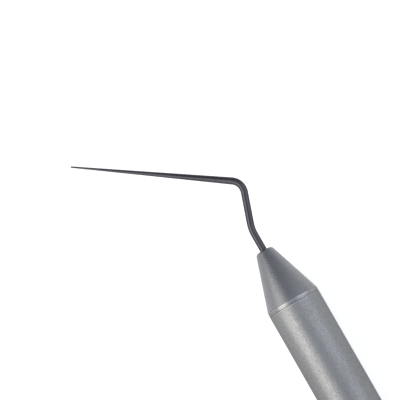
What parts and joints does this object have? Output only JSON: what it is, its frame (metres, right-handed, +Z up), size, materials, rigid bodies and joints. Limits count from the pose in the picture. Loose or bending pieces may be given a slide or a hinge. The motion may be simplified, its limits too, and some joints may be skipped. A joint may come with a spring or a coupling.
{
  "type": "scriber",
  "caption": "Metalwork scriber with a hollow satin steel handle, a screw-in conical nose and a long, tapered needle point bent twice from one steel rod.",
  "frame": {"origin": "on the handle's axis, at the middle of the tube's length", "axes": "+X along the handle towards the nose and the point, +Z up from the table that the tool lies on, +Y to the side that the needle reaches"},
  "size_m": [0.1509, 0.0264, 0.0094],
  "materials": {
    "blasted_steel": "satin, bead blasted",
    "blasted_nose_steel": "satin, finely blasted",
    "polished_steel": "polished",
    "turned_steel": "turned",
    "tool_steel": "dark, polished"
  },
  "bodies": {
    "handle": {"handle_tube": "blasted_steel", "thread_bush": "turned_steel", "end_plug": "blasted_steel"},
    "ring": {"shoulder_ring": "polished_steel"},
    "nose": {"nose_cone": "blasted_nose_steel", "point": "tool_steel"}
  },
  "joints": [
    {"name": "ring_slide", "type": "slide", "parent": "handle", "child": "ring", "axis": [1, 0, 0], "range_m": [0, 0.00735]},
    {"name": "nose_turn", "type": "hinge", "parent": "ring", "child": "nose", "pos_m": [0.0527, 0, 0], "axis": [1, 0, 0], "range_deg": [0, 3530]}
  ],
  "couplings": [
    {"joint": "nose_turn", "follows": "ring_slide", "rad_per_m": 8377.6}
  ]
}
